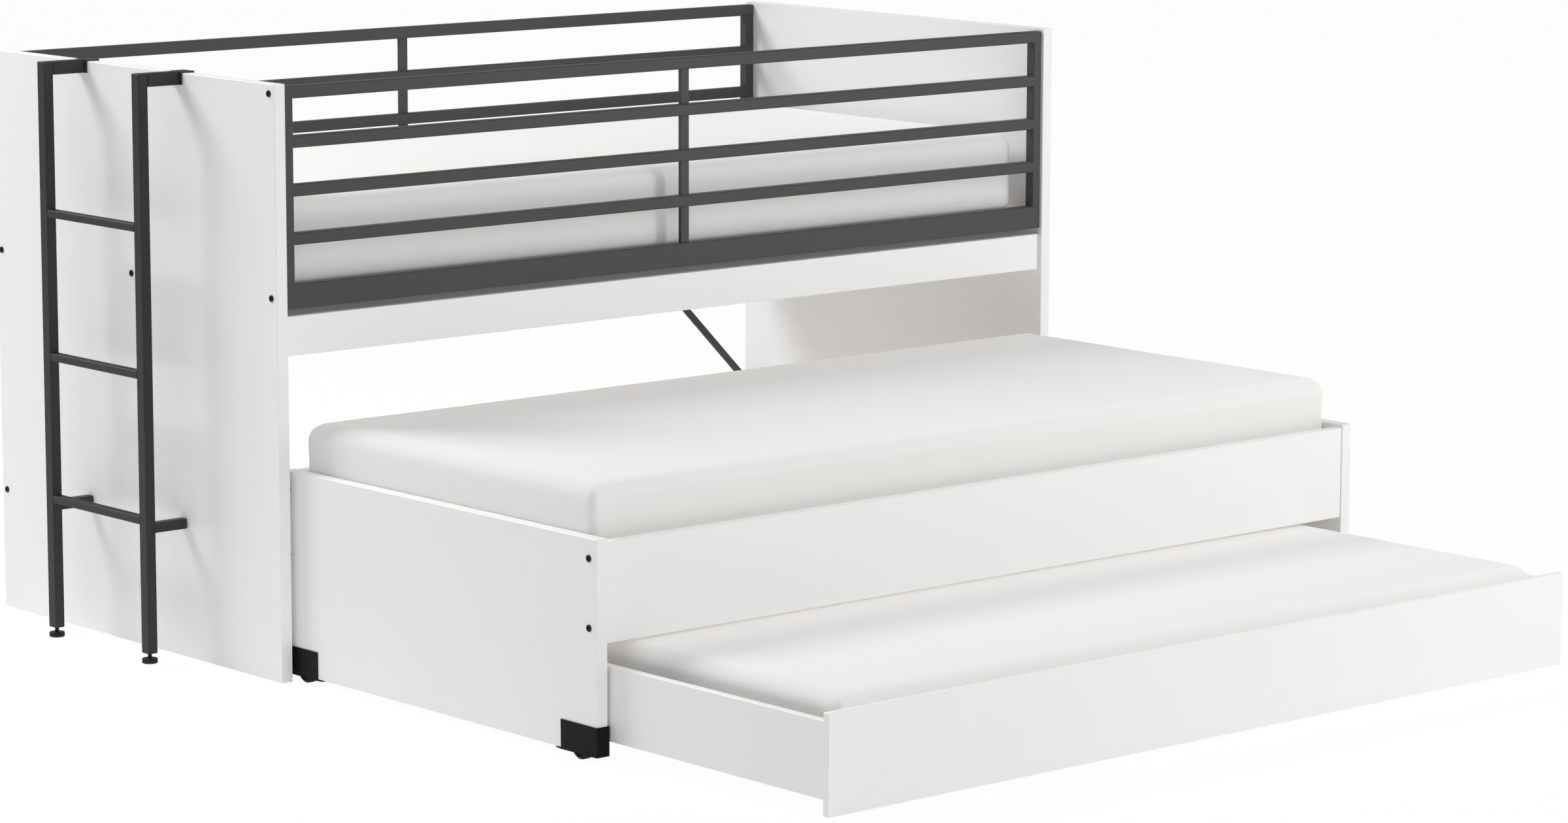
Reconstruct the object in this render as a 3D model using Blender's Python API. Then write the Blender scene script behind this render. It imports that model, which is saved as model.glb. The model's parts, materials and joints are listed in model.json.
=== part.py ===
"""Three-place bunk bed: an upper bunk on two end panels, a castored bed that
rolls out from under it, a trundle that rolls out from under that bed, and a
hook-on ladder.

Metres, +Z up. +X runs along the bed from the ladder end, and the beds roll
out towards -Y. The origin is the middle of the left end panel's floor face.
"""
import math

import bmesh
import bpy
from mathutils import Matrix, Vector

# Common stock and clearances
SEAT_GAP = 0.0003            # between pieces that rest on or against each other
BOARD_THICKNESS = 0.025      # laminated end panels of both larger beds
RAIL_THICKNESS = 0.022       # laminated rails between the panels
EDGE_ROUND = 0.001           # edge banding radius on the boards
CUT_OVERRUN = 0.004          # how far a cutter passes the faces that it cuts
WELD_DEPTH = 0.003           # how far a welded bar's end runs into its neighbour

# Mattress of both larger beds
MATTRESS_LENGTH = 1.917
MATTRESS_WIDTH = 0.8755
MATTRESS_THICKNESS = 0.165
MATTRESS_CROWN = 0.005
MATTRESS_CORNER = 0.018
MATTRESS_TOP_ROUND = 0.036
MATTRESS_BASE_ROUND = 0.016
MATTRESS_WAIST = 0.0022      # how far the sides draw in at mid height

# Upper bunk
BUNK_HEIGHT = 1.150
BUNK_RUN_GAP = 0.0095        # between its end panels and the pull-out bed's
BUNK_MATTRESS_GAP = 0.02375  # between the mattress's sides and the guards

# Guards, front and back alike
GUARD_DEPTH = 0.024
GUARD_SETBACK = 0.0055       # behind the panels' edges
GUARD_TOP_DROP = 0.0055      # below the panels' top
GUARD_END_GAP = 0.0003
GUARD_ROUND = 0.0018
TOP_RAIL_HEIGHT = 0.024
GUARD_RAIL_HEIGHT = 0.023
GUARD_RAIL_COUNT = 3
GUARD_FIRST_GAP = 0.071
GUARD_GAP = 0.0695
GUARD_LAST_GAP = 0.074
GUARD_BAR_HEIGHT = 0.048
GUARD_POST_WIDTH = 0.022
GUARD_STEP = 0.0002          # each welded member sits this much shy of the next
MULLION_WIDTH = 0.020
MULLION_DEPTH = 0.009

# Upper bunk's front and back boards, and the slat rails behind them
APRON_HEIGHT = 0.076
APRON_SETBACK = 0.009
APRON_GAP = 0.014            # open slot between the guard's bar and the board
SLAT_SHELF_DEPTH = 0.070
SLAT_SHELF_THICKNESS = 0.018
SLAT_SHELF_DROP = 0.0008     # below the board's top edge
SLAT_RISE = 0.0377           # slats' underside above the board's top edge
UPPER_SLAT_INSET = 0.010     # of the slats' ends from the mattress's sides
SLAT_UPSTAND_WIDTH = 0.030
SLAT_RAIL_END_GAP = 0.030
CENTRE_BEAM = 0.030
BEAM_PLATE_WIDTH = 0.050
BEAM_PLATE_THICKNESS = 0.003
BEAM_PLATE_DROP = 0.020

# Slats
SLAT_WIDTH = 0.070
SLAT_THICKNESS = 0.018
SLAT_COUNT = 13
SLAT_ROUND = 0.003
SLAT_END_GAP = 0.004
TAPE_WIDTH = 0.022
TAPE_THICKNESS = 0.0016
TAPE_BITE = 0.0006
TAPE_PLACE_SHARE = 0.30      # of the slat's length, from its middle

# Rear braces of the upper bunk
BRACE_WIDTH = 0.016
BRACE_THICKNESS = 0.004
BRACE_FOOT_HEIGHT = 0.2615   # where its centre line meets the end panel
BRACE_TAB_LENGTH = 0.040
BRACE_TAB_WIDTH = 0.018

# Ladder
LADDER_WIDTH = 0.3565
LADDER_PLACE_Y = -0.003      # of its middle, from the end panel's middle
LADDER_STANDOFF = 0.0755     # clear space between uprights and panel
UPRIGHT_WIDTH = 0.025
UPRIGHT_DEPTH = 0.0215
UPRIGHT_CLEARANCE = 0.0195   # underside above the floor
TUBE_ROUND = 0.0014
ARM_HEIGHT = 0.026
HOOK_PLATE = 0.003
HOOK_WIDTH = 0.036
HOOK_LIP = 0.022
HOOK_PANEL_GAP = 0.0003
LOWER_ARM = 0.020
LOWER_ARM_TOP = 0.2775
RUNG_COUNT = 3
RUNG_HEIGHT = 0.015
RUNG_DEPTH = 0.021
RUNG_PITCH = 0.2865
RUNG_FIRST_TOP = 0.289
RUNG_GROOVE_WIDTH = 0.0024
RUNG_GROOVE_DEPTH = 0.0012
RUNG_GROOVE_PITCH = 0.005
RUNG_GROOVES = 3
FOOT_RADIUS = 0.0155
FOOT_THICKNESS = 0.0095
FOOT_TAPER = 0.0012
STEM_RADIUS = 0.004
STEM_REACH = 0.022           # of the stem inside its upright
FOOT_TRAVEL = 0.008
STEM_CLEARANCE = 0.0006
FOOT_FACES = 28
STEM_FACES = 16

# Pull-out bed
PULLOUT_END_GAP = 0.0005     # between the mattress's ends and the panels
PULLOUT_FRONT_GAP = 0.0193   # between the mattress's front and the front rail
PULLOUT_BACK_GAP = 0.0042    # between its back and the back rail
PULLOUT_STAY = 0.031         # how far its back stays behind the bunk's front
PULLOUT_PANEL_TOP = 0.4075
PULLOUT_PANEL_BOTTOM = 0.0145
PULLOUT_RAIL_DROP = 0.0067   # of the front rail's top below the panels'
PULLOUT_RAIL_SETBACK = 0.002
PULLOUT_MATTRESS_BASE = 0.335
LEDGER_WIDTH = 0.022
LEDGER_HEIGHT = 0.038

# Corner brackets and wheels of the pull-out bed
BRACKET_SHEET = 0.0018
BRACKET_LENGTH = 0.1035
BRACKET_TOP = 0.0672
BRACKET_LIP = 0.0155
BRACKET_PANEL_GAP = 0.0003
WHEEL_RADIUS = 0.025
WHEEL_WIDTH = 0.019
WHEEL_INSET = 0.054          # of its axle from the panel's end
WHEEL_SLOT_SIDE_GAP = 0.0015
WHEEL_SLOT_END_GAP = 0.004
WHEEL_ROUND = 0.003
WHEEL_DISH_DEPTH = 0.003
WHEEL_RIM = 0.006
AXLE_RADIUS = 0.004
AXLE_CLEARANCE = 0.0006
HUB_RADIUS = 0.009
WHEEL_FACES = 24
AXLE_FACES = 12

# Trundle
TRUNDLE_RUN_GAP = 0.004      # between its ends and the pull-out bed's panels
TRUNDLE_BACK_GAP = 0.002     # between its depth and the space inside the pull-out bed's rails
TRUNDLE_REACH = 0.587        # how far its front stands out from the pull-out bed's
TRUNDLE_FRONT_HEADROOM = 0.0263      # below the pull-out bed's rail
TRUNDLE_FRONT_BOTTOM = 0.009
TRUNDLE_FRONT_THICKNESS = 0.014
TRUNDLE_SIDE_DROP = 0.0158   # of the side boards' top below the front board's
TRUNDLE_SIDE_BOTTOM = 0.0375
TRUNDLE_SIDE_INSET = 0.002
TRUNDLE_BOARD = 0.016
TRUNDLE_MATTRESS_THICKNESS = 0.1245
TRUNDLE_MATTRESS_CROWN = 0.003
TRUNDLE_MATTRESS_HEADROOM = 0.0068   # of its crown below the pull-out bed's rail
TRUNDLE_MATTRESS_END_GAP = 0.031
TRUNDLE_MATTRESS_FRONT_GAP = 0.018
TRUNDLE_MATTRESS_BACK_GAP = 0.017
TRUNDLE_LEDGER_WIDTH = 0.045
TRUNDLE_LEDGER_HEIGHT = 0.022
TRUNDLE_SLAT_THICKNESS = 0.014
CASTOR_INSET = 0.150         # of its middle from the trundle's end
CASTOR_RADIUS = 0.021
CASTOR_WIDTH = 0.016
CASTOR_BOARD_GAP = 0.0035    # between its tread and the board next to it
CASTOR_TOP_GAP = 0.0021      # between its tread and the fork's plate
FORK_SHEET = 0.002
FORK_GAP = 0.0015
FORK_REACH = 0.019           # of the top plate, each way from the axle
FORK_FLANGE = 0.012          # of the top plate, outside the cheeks
CHEEK_REACH = 0.010
FORK_DROP = 0.008            # underside of the cheeks below the axle

# Sizes and places worked out from the others
PULLOUT_LENGTH = MATTRESS_LENGTH + 2 * (PULLOUT_END_GAP + BOARD_THICKNESS)
PULLOUT_DEPTH = (MATTRESS_WIDTH + PULLOUT_FRONT_GAP + PULLOUT_BACK_GAP
                 + 2 * (RAIL_THICKNESS + PULLOUT_RAIL_SETBACK))
BUNK_LENGTH = PULLOUT_LENGTH + 2 * (BUNK_RUN_GAP + BOARD_THICKNESS)
BUNK_DEPTH = MATTRESS_WIDTH + 2 * (BUNK_MATTRESS_GAP + GUARD_DEPTH + GUARD_SETBACK)
TRUNDLE_LENGTH = PULLOUT_LENGTH - 2 * (BOARD_THICKNESS + TRUNDLE_RUN_GAP)
TRUNDLE_DEPTH = PULLOUT_DEPTH - 2 * (PULLOUT_RAIL_SETBACK + RAIL_THICKNESS + TRUNDLE_BACK_GAP)
BED_MID_X = (BUNK_LENGTH - BOARD_THICKNESS) / 2
BUNK_CLEAR_X = BUNK_LENGTH / 2 - BOARD_THICKNESS
BUNK_FRONT_Y = -BUNK_DEPTH / 2
GUARD_TOP = BUNK_HEIGHT - GUARD_TOP_DROP
GUARD_BAR_TOP = (GUARD_TOP - TOP_RAIL_HEIGHT - GUARD_FIRST_GAP
                 - GUARD_RAIL_COUNT * GUARD_RAIL_HEIGHT
                 - (GUARD_RAIL_COUNT - 1) * GUARD_GAP - GUARD_LAST_GAP)
GUARD_BAR_BOTTOM = GUARD_BAR_TOP - GUARD_BAR_HEIGHT
APRON_TOP = GUARD_BAR_BOTTOM - APRON_GAP
UPPER_SLAT_BASE = APRON_TOP + SLAT_RISE
UPPER_MATTRESS_BASE = UPPER_SLAT_BASE + SLAT_THICKNESS + SEAT_GAP
PULLOUT_FRONT_Y = BUNK_FRONT_Y + PULLOUT_STAY - PULLOUT_DEPTH
PULLOUT_CLEAR_X = PULLOUT_LENGTH / 2 - BOARD_THICKNESS
PULLOUT_MID_Y = PULLOUT_FRONT_Y + PULLOUT_DEPTH / 2
PULLOUT_SLAT_BASE = PULLOUT_MATTRESS_BASE - SEAT_GAP - SLAT_THICKNESS
TRUNDLE_LEDGER_BASE = 2 * CASTOR_RADIUS + CASTOR_TOP_GAP + FORK_SHEET + SEAT_GAP
TRUNDLE_SLAT_BASE = TRUNDLE_LEDGER_BASE + TRUNDLE_LEDGER_HEIGHT + SEAT_GAP
TRUNDLE_MATTRESS_BASE = TRUNDLE_SLAT_BASE + TRUNDLE_SLAT_THICKNESS + SEAT_GAP
PULLOUT_RAIL_BOTTOM = (TRUNDLE_MATTRESS_BASE + TRUNDLE_MATTRESS_THICKNESS + TRUNDLE_MATTRESS_CROWN
                       + TRUNDLE_MATTRESS_HEADROOM)
PULLOUT_RAIL_TOP = PULLOUT_PANEL_TOP - PULLOUT_RAIL_DROP
BRACKET_BOTTOM = PULLOUT_PANEL_BOTTOM - BRACKET_PANEL_GAP - BRACKET_SHEET
TRUNDLE_FRONT_Y = PULLOUT_FRONT_Y - TRUNDLE_REACH
TRUNDLE_MID_Y = TRUNDLE_FRONT_Y + TRUNDLE_DEPTH / 2
TRUNDLE_CLEAR_X = TRUNDLE_LENGTH / 2 - TRUNDLE_SIDE_INSET - TRUNDLE_BOARD
TRUNDLE_MATTRESS_LENGTH = 2 * (TRUNDLE_CLEAR_X - TRUNDLE_MATTRESS_END_GAP)
TRUNDLE_MATTRESS_WIDTH = (TRUNDLE_DEPTH - TRUNDLE_FRONT_THICKNESS - TRUNDLE_BOARD
                          - TRUNDLE_MATTRESS_FRONT_GAP - TRUNDLE_MATTRESS_BACK_GAP)
TRUNDLE_FRONT_TOP = PULLOUT_RAIL_BOTTOM - TRUNDLE_FRONT_HEADROOM
TRUNDLE_SIDE_TOP = TRUNDLE_FRONT_TOP - TRUNDLE_SIDE_DROP

# Outline of a mattress edge: (share of the rounding radius drawn in, share of
# it below the top), and the same for the lower edge
EDGE_ARC_SHARES = [(0.0, 1.0), (0.076, 0.617), (0.293, 0.293), (0.617, 0.076), (1.0, 0.0)]
CROWN_SHARES = [(0.25, 0.45), (0.55, 0.80), (1.0, 1.0)]
CROWN_REACH_SHARE = 0.42     # of the half width over which the crown rises
CORNER_STEPS = 6


def make_material(name, colour, roughness, metallic=0.0):
    material = bpy.data.materials.new(name)
    material.use_nodes = True
    shader = material.node_tree.nodes["Principled BSDF"]
    shader.inputs["Base Color"].default_value = (*colour, 1.0)
    shader.inputs["Roughness"].default_value = roughness
    shader.inputs["Metallic"].default_value = metallic
    material.diffuse_color = (*colour, 1.0)
    return material


def make_assembly(name, place, parent=None):
    """An empty that carries one assembly's pieces in its own coordinates."""
    empty = bpy.data.objects.new(name, None)
    bpy.context.collection.objects.link(empty)
    empty.location = place
    empty.parent = parent
    return empty


def make_piece(name, mesh, look, parent=None, place=(0, 0, 0)):
    piece = bpy.data.objects.new(name, mesh)
    bpy.context.collection.objects.link(piece)
    piece.location = place
    piece.parent = parent
    if look is not None:
        mesh.materials.clear()
        mesh.materials.append(make_material(name, *look))
    return piece


def block_mesh(size, rounding=0.0, segments=1):
    """A box of the given size about its own middle, with rounded edges."""
    bm = bmesh.new()
    bmesh.ops.create_cube(bm, size=1)
    bmesh.ops.scale(bm, vec=Vector(size), verts=bm.verts)
    if rounding:
        bmesh.ops.bevel(bm, geom=bm.edges, offset=rounding, segments=segments, affect="EDGES")
    mesh = bpy.data.meshes.new("block")
    bm.to_mesh(mesh)
    bm.free()
    return mesh


def block(name, x, y, z, look=None, parent=None, rounding=0.0):
    """A box that fills the spans x, y and z, each given as (low, high)."""
    size = [high - low for low, high in (x, y, z)]
    middle = [(high + low) / 2 for low, high in (x, y, z)]
    return make_piece(name, block_mesh(size, rounding), look, parent, middle)


def about(middle, width):
    return middle - width / 2, middle + width / 2


def mirrored(span, side):
    """The span as it is for side 1, and its mirror image for side -1."""
    return tuple(sorted(side * value for value in span))


def combine(target, tools, operation):
    """Boolean-combine the target with each tool, and remove the tools."""
    for tool in tools:
        modifier = target.modifiers.new(operation.title(), "BOOLEAN")
        modifier.operation = operation
        modifier.solver = "EXACT"
        modifier.object = tool
        bpy.context.view_layer.update()
        graph = bpy.context.evaluated_depsgraph_get()
        mesh = bpy.data.meshes.new_from_object(target.evaluated_get(graph))
        target.modifiers.clear()
        target.data = mesh
        bpy.data.objects.remove(tool)
    return target


def settle(piece, look, parent, place=(0, 0, 0)):
    """Give a combined piece its look and parent, with its origin where it was combined."""
    piece.data.transform(Matrix.Translation(piece.location))
    piece.data.materials.clear()
    piece.data.materials.append(make_material(piece.name, *look))
    piece.parent = parent
    piece.location = place
    return piece


def shade(piece, angle=math.radians(35)):
    piece.data.shade_smooth()
    piece.data.set_sharp_from_angle(angle=angle)
    return piece


def turned_mesh(profile, faces):
    """A solid turned about X from a closed (x, radius) outline."""
    bm = bmesh.new()
    outline = [bm.verts.new((x, 0, radius)) for x, radius in profile]
    edges = [bm.edges.new((a, b)) for a, b in zip(outline, outline[1:] + outline[:1])]
    bmesh.ops.spin(bm, geom=outline + edges, cent=(0, 0, 0), axis=(1, 0, 0),
                   angle=math.tau, steps=faces, use_merge=True, use_duplicate=False)
    bmesh.ops.recalc_face_normals(bm, faces=bm.faces)
    mesh = bpy.data.meshes.new("turned")
    bm.to_mesh(mesh)
    bm.free()
    return mesh


def rod(name, radius, length, faces, turn=None, place=(0, 0, 0), parent=None):
    """A plain cylinder about its own middle, along X or turned by a matrix."""
    bm = bmesh.new()
    bmesh.ops.create_cone(bm, cap_ends=True, segments=faces, radius1=radius, radius2=radius, depth=length)
    bmesh.ops.transform(bm, matrix=turn or Matrix.Rotation(math.pi / 2, 4, "Y"), verts=bm.verts)
    mesh = bpy.data.meshes.new("rod")
    bm.to_mesh(mesh)
    bm.free()
    return make_piece(name, mesh, None, parent, place)


def build_mattress(name, length, width, thickness, crown, look, parent, place):
    """A foam slab: rounded edges, drawn-in sides and a crowned top."""
    levels = []                                   # (draw-in, height) from base to crown
    for inward, height in reversed(EDGE_ARC_SHARES):
        levels.append((inward * MATTRESS_BASE_ROUND, height * MATTRESS_BASE_ROUND))
    levels.append((MATTRESS_WAIST, thickness / 2))
    for inward, drop in EDGE_ARC_SHARES:
        levels.append((inward * MATTRESS_TOP_ROUND, thickness - drop * MATTRESS_TOP_ROUND))
    reach = CROWN_REACH_SHARE * width / 2
    for inward, rise in CROWN_SHARES:
        levels.append((MATTRESS_TOP_ROUND + inward * (reach - MATTRESS_TOP_ROUND), thickness + rise * crown))

    bm = bmesh.new()
    rings = []
    for inward, height in levels:
        corner = max(MATTRESS_CORNER - inward / 2, MATTRESS_CORNER / 4)
        half_x = length / 2 - inward - corner
        half_y = width / 2 - inward - corner
        ring = []
        for quarter, (sx, sy) in enumerate([(1, 1), (-1, 1), (-1, -1), (1, -1)]):
            for step in range(CORNER_STEPS + 1):
                angle = (quarter + step / CORNER_STEPS) * math.pi / 2
                ring.append(bm.verts.new((sx * half_x + corner * math.cos(angle),
                                          sy * half_y + corner * math.sin(angle), height)))
        rings.append(ring)
    for low, high in zip(rings, rings[1:]):
        for index in range(len(low)):
            following = (index + 1) % len(low)
            bm.faces.new((low[index], low[following], high[following], high[index]))
    bm.faces.new(list(reversed(rings[0])))
    bm.faces.new(rings[-1])
    mesh = bpy.data.meshes.new(name)
    bm.to_mesh(mesh)
    bm.free()
    return shade(make_piece(name, mesh, look, parent, place), math.radians(60))


def build_slat_roll(name, length, slat_length, thickness, look, parent, place):
    """Pine slats across the bed, held at their pitch by two webbing tapes."""
    pitch = (length - SLAT_WIDTH) / (SLAT_COUNT - 1)
    bm = bmesh.new()
    for index in range(SLAT_COUNT):
        made = bmesh.ops.create_cube(bm, size=1)["verts"]
        bmesh.ops.scale(bm, vec=(SLAT_WIDTH, slat_length, thickness), verts=made)
        bmesh.ops.translate(bm, vec=(pitch * (index - (SLAT_COUNT - 1) / 2), 0, thickness / 2), verts=made)
    lengthwise = [e for e in bm.edges if abs((e.verts[0].co - e.verts[1].co).normalized().y) > math.cos(math.pi / 8)]
    bmesh.ops.bevel(bm, geom=lengthwise, offset=SLAT_ROUND, segments=1, affect="EDGES")
    mesh = bpy.data.meshes.new(name)
    bm.to_mesh(mesh)
    bm.free()
    roll = make_piece(name, mesh, None)
    tapes = []
    for side in (-1, 1):
        middle = side * TAPE_PLACE_SHARE * slat_length
        tapes.append(block("tape", about(0, length - SLAT_WIDTH), about(middle, TAPE_WIDTH),
                           (TAPE_BITE - TAPE_THICKNESS, TAPE_BITE)))
    combine(roll, tapes, "UNION")
    return settle(roll, look, parent, place)


def build_guard(name, middle_y, look, parent):
    """A welded steel guard: top rail, posts, three rails, a mullion and a tall bottom bar."""
    end = BUNK_CLEAR_X - GUARD_END_GAP
    top_rail_base = GUARD_TOP - TOP_RAIL_HEIGHT
    guard = block(name, about(0, 2 * end), about(middle_y, GUARD_DEPTH), (top_rail_base, GUARD_TOP),
                  rounding=GUARD_ROUND)
    members = [block("bar", about(0, 2 * end), about(middle_y, GUARD_DEPTH),
                     (GUARD_BAR_BOTTOM, GUARD_BAR_TOP), rounding=GUARD_ROUND)]
    upright_z = (GUARD_BAR_TOP - WELD_DEPTH, top_rail_base + WELD_DEPTH)
    post_depth = GUARD_DEPTH - 2 * GUARD_STEP
    for side in (-1, 1):
        post = mirrored((end - GUARD_POST_WIDTH, end - GUARD_STEP), side)
        members.append(block("post", post, about(middle_y, post_depth), upright_z, rounding=GUARD_ROUND))
    rail_x = about(0, 2 * (end - GUARD_POST_WIDTH + WELD_DEPTH))
    rail_top = top_rail_base - GUARD_FIRST_GAP
    for index in range(GUARD_RAIL_COUNT):
        members.append(block("rail", rail_x, about(middle_y, post_depth - 2 * GUARD_STEP),
                             (rail_top - GUARD_RAIL_HEIGHT, rail_top), rounding=GUARD_ROUND))
        rail_top -= GUARD_RAIL_HEIGHT + GUARD_GAP
    members.append(block("mullion", about(0, MULLION_WIDTH), about(middle_y, MULLION_DEPTH), upright_z))
    combine(guard, members, "UNION")
    return settle(guard, look, parent)


def build_slat_rail(name, side, look, parent):
    """An L-shaped timber rail: a flat shelf fixed to the board, and an upstand under the slats."""
    outer = BUNK_DEPTH / 2 - APRON_SETBACK - RAIL_THICKNESS - SEAT_GAP
    inner = outer - SLAT_SHELF_DEPTH
    shelf_top = APRON_TOP - SLAT_SHELF_DROP
    outline = [(outer, shelf_top), (inner + SLAT_UPSTAND_WIDTH, shelf_top),
               (inner + SLAT_UPSTAND_WIDTH, UPPER_SLAT_BASE - SEAT_GAP), (inner, UPPER_SLAT_BASE - SEAT_GAP),
               (inner, shelf_top - SLAT_SHELF_THICKNESS), (outer, shelf_top - SLAT_SHELF_THICKNESS)]
    half = BUNK_CLEAR_X - SLAT_RAIL_END_GAP
    bm = bmesh.new()
    section = bm.faces.new([bm.verts.new((-half, side * y, z)) for y, z in outline])
    pulled = bmesh.ops.extrude_face_region(bm, geom=[section])["geom"]
    bmesh.ops.translate(bm, vec=(2 * half, 0, 0), verts=[g for g in pulled if isinstance(g, bmesh.types.BMVert)])
    bmesh.ops.recalc_face_normals(bm, faces=bm.faces)
    mesh = bpy.data.meshes.new(name)
    bm.to_mesh(mesh)
    bm.free()
    return make_piece(name, mesh, look, parent)


def build_brace(name, side, look, parent):
    """A flat 45 degree strap from the end panel up to the underside of the back board."""
    middle_y = BUNK_DEPTH / 2 - GUARD_SETBACK - GUARD_DEPTH / 2
    foot = Vector((BUNK_CLEAR_X - SEAT_GAP, 0, BRACE_FOOT_HEIGHT))
    rise = APRON_TOP - APRON_HEIGHT - SEAT_GAP - BRACE_FOOT_HEIGHT
    head = foot + Vector((-rise, 0, rise))
    half = BRACE_WIDTH / math.sqrt(2)
    tab_low = BRACE_FOOT_HEIGHT - half - BRACE_TAB_LENGTH
    outline = [(foot.x, foot.z - half), (foot.x, foot.z + half), (head.x + half, head.z), (head.x - half, head.z)]
    bm = bmesh.new()
    section = bm.faces.new([bm.verts.new((side * x, middle_y - BRACE_THICKNESS / 2, z)) for x, z in outline])
    pulled = bmesh.ops.extrude_face_region(bm, geom=[section])["geom"]
    bmesh.ops.translate(bm, vec=(0, BRACE_THICKNESS, 0), verts=[g for g in pulled if isinstance(g, bmesh.types.BMVert)])
    bmesh.ops.recalc_face_normals(bm, faces=bm.faces)
    mesh = bpy.data.meshes.new(name)
    bm.to_mesh(mesh)
    bm.free()
    brace = make_piece(name, mesh, None)
    foot_tab = block("foot_tab", mirrored((foot.x - BRACE_THICKNESS, foot.x), side),
                     about(middle_y, BRACE_TAB_WIDTH), (tab_low, foot.z + half))
    head_tab = block("head_tab", mirrored((head.x - BRACE_TAB_LENGTH, head.x + half), side),
                     about(middle_y, BRACE_TAB_WIDTH), (head.z - BRACE_THICKNESS, head.z))
    combine(brace, [foot_tab, head_tab], "UNION")
    return settle(brace, look, parent)


def build_centre_beam(name, look, parent):
    """A square tube under the middle of the slats, with a bolting plate at each end."""
    end = BUNK_CLEAR_X - SEAT_GAP
    top = UPPER_SLAT_BASE - SEAT_GAP
    beam = block(name, about(0, 2 * (end - BEAM_PLATE_THICKNESS / 2)), about(0, CENTRE_BEAM),
                 (top - CENTRE_BEAM, top), rounding=TUBE_ROUND)
    plates = []
    for side in (-1, 1):
        plates.append(block("plate", mirrored((end - BEAM_PLATE_THICKNESS, end), side), about(0, BEAM_PLATE_WIDTH),
                            (top - CENTRE_BEAM - BEAM_PLATE_DROP, top)))
    combine(beam, plates, "UNION")
    return settle(beam, look, parent)


def build_upper_bunk(parent):
    panel_y = about(0, BUNK_DEPTH)
    for name, side in (("end_panel_left", -1), ("end_panel_right", 1)):
        block(name, mirrored((BUNK_CLEAR_X, BUNK_CLEAR_X + BOARD_THICKNESS), side), panel_y, (0, BUNK_HEIGHT),
              WHITE_BOARD, parent, EDGE_ROUND)
    guard_middle = BUNK_DEPTH / 2 - GUARD_SETBACK - GUARD_DEPTH / 2
    apron_outer = BUNK_DEPTH / 2 - APRON_SETBACK
    for place, side in (("front", -1), ("back", 1)):
        build_guard("guard_" + place, side * guard_middle, BLACK_STEEL, parent)
        block("apron_" + place, about(0, 2 * (BUNK_CLEAR_X - SEAT_GAP)),
              mirrored((apron_outer - RAIL_THICKNESS, apron_outer), side),
              (APRON_TOP - APRON_HEIGHT, APRON_TOP), WHITE_BOARD, parent, EDGE_ROUND)
        build_slat_rail("slat_rail_" + place, side, WHITE_BOARD, parent)
    build_centre_beam("centre_beam", BLACK_STEEL, parent)
    build_slat_roll("upper_slats", MATTRESS_LENGTH, MATTRESS_WIDTH - 2 * UPPER_SLAT_INSET, SLAT_THICKNESS, PINE,
                    parent, (0, 0, UPPER_SLAT_BASE))
    build_mattress("upper_mattress", MATTRESS_LENGTH, MATTRESS_WIDTH, MATTRESS_THICKNESS, MATTRESS_CROWN, FOAM,
                   parent, (0, 0, UPPER_MATTRESS_BASE))
    for name, side in (("brace_left", -1), ("brace_right", 1)):
        build_brace(name, side, BLACK_STEEL, parent)


def build_foot(name, look, parent, place):
    """A levelling foot: a round pad with a screwed stem that runs up into the upright."""
    stem_top = UPRIGHT_CLEARANCE + STEM_REACH
    profile = [(0, 0), (0, FOOT_RADIUS - FOOT_TAPER), (FOOT_TAPER, FOOT_RADIUS),
               (FOOT_THICKNESS - FOOT_TAPER, FOOT_RADIUS), (FOOT_THICKNESS, FOOT_RADIUS - FOOT_TAPER),
               (FOOT_THICKNESS, STEM_RADIUS), (stem_top, STEM_RADIUS), (stem_top, 0)]
    bm = bmesh.new()
    outline = [bm.verts.new((radius, 0, height)) for height, radius in profile]
    edges = [bm.edges.new(pair) for pair in zip(outline, outline[1:])]
    bmesh.ops.spin(bm, geom=outline + edges, cent=(0, 0, 0), axis=(0, 0, 1), angle=math.tau, steps=FOOT_FACES,
                   use_merge=True, use_duplicate=False)
    bmesh.ops.remove_doubles(bm, verts=bm.verts, dist=SEAT_GAP / 3)
    bmesh.ops.recalc_face_normals(bm, faces=bm.faces)
    mesh = bpy.data.meshes.new(name)
    bm.to_mesh(mesh)
    bm.free()
    return shade(make_piece(name, mesh, look, parent, place))


def build_hook_arm(name, middle_y, look, parent):
    """The upright's top arm, ending in a plate that hooks over the end panel."""
    outer_face = -HOOK_PANEL_GAP
    inner_face = BOARD_THICKNESS + HOOK_PANEL_GAP
    seat = BUNK_HEIGHT + SEAT_GAP
    top = seat + HOOK_PLATE
    arm = block(name, (-LADDER_STANDOFF, outer_face - HOOK_PLATE / 2), about(middle_y, UPRIGHT_WIDTH),
                (top - ARM_HEIGHT, top - GUARD_STEP), rounding=TUBE_ROUND)
    flange = block("flange", (outer_face - HOOK_PLATE, outer_face), about(middle_y, HOOK_WIDTH),
                   (top - ARM_HEIGHT, top))
    plate = block("plate", (outer_face - HOOK_PLATE / 2, inner_face + HOOK_PLATE), about(middle_y, HOOK_WIDTH),
                  (seat, top))
    lip = block("lip", (inner_face, inner_face + HOOK_PLATE), about(middle_y, HOOK_WIDTH), (top - HOOK_LIP, top))
    combine(arm, [flange, plate, lip], "UNION")
    return settle(arm, look, parent)


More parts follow.
